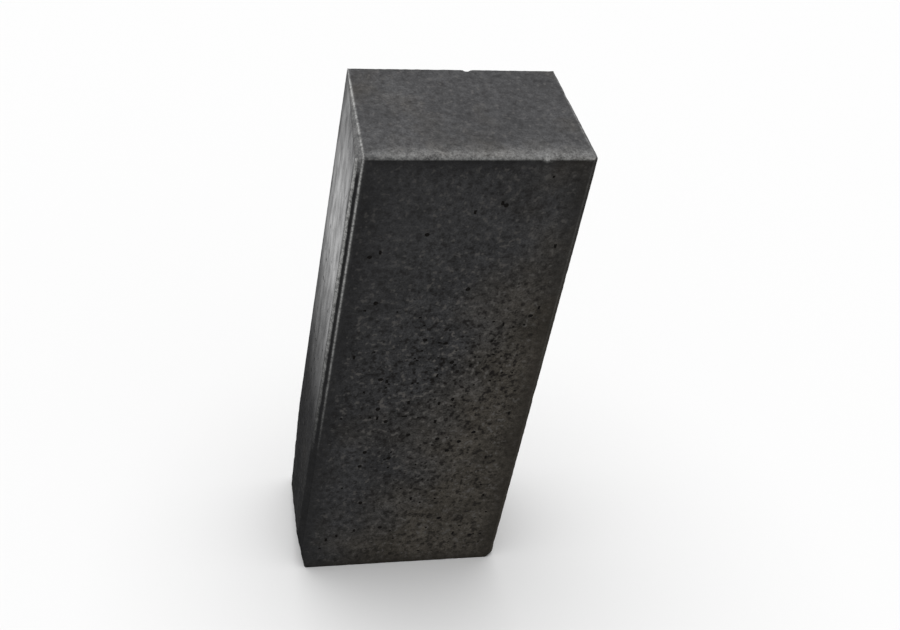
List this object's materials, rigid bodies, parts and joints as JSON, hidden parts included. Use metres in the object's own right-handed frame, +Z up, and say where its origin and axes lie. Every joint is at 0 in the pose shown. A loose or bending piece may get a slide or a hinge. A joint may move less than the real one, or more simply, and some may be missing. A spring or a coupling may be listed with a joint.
{
  "type": "wedge edging block",
  "caption": "Upright pressed-concrete edging block with a wedge-shaped plan and chamfered joint edges, set side by side with its like to lay a curved border.",
  "frame": {"origin": "middle of the base, on the ground", "axes": "+Z up along the height, -Y out of the wide show face, +Y out of the narrow back face, X along the border"},
  "size_m": [0.1194, 0.07, 0.3],
  "materials": {
    "black_concrete": "matte"
  },
  "bodies": {
    "root": {"edging_block": "black_concrete"}
  },
  "joints": []
}
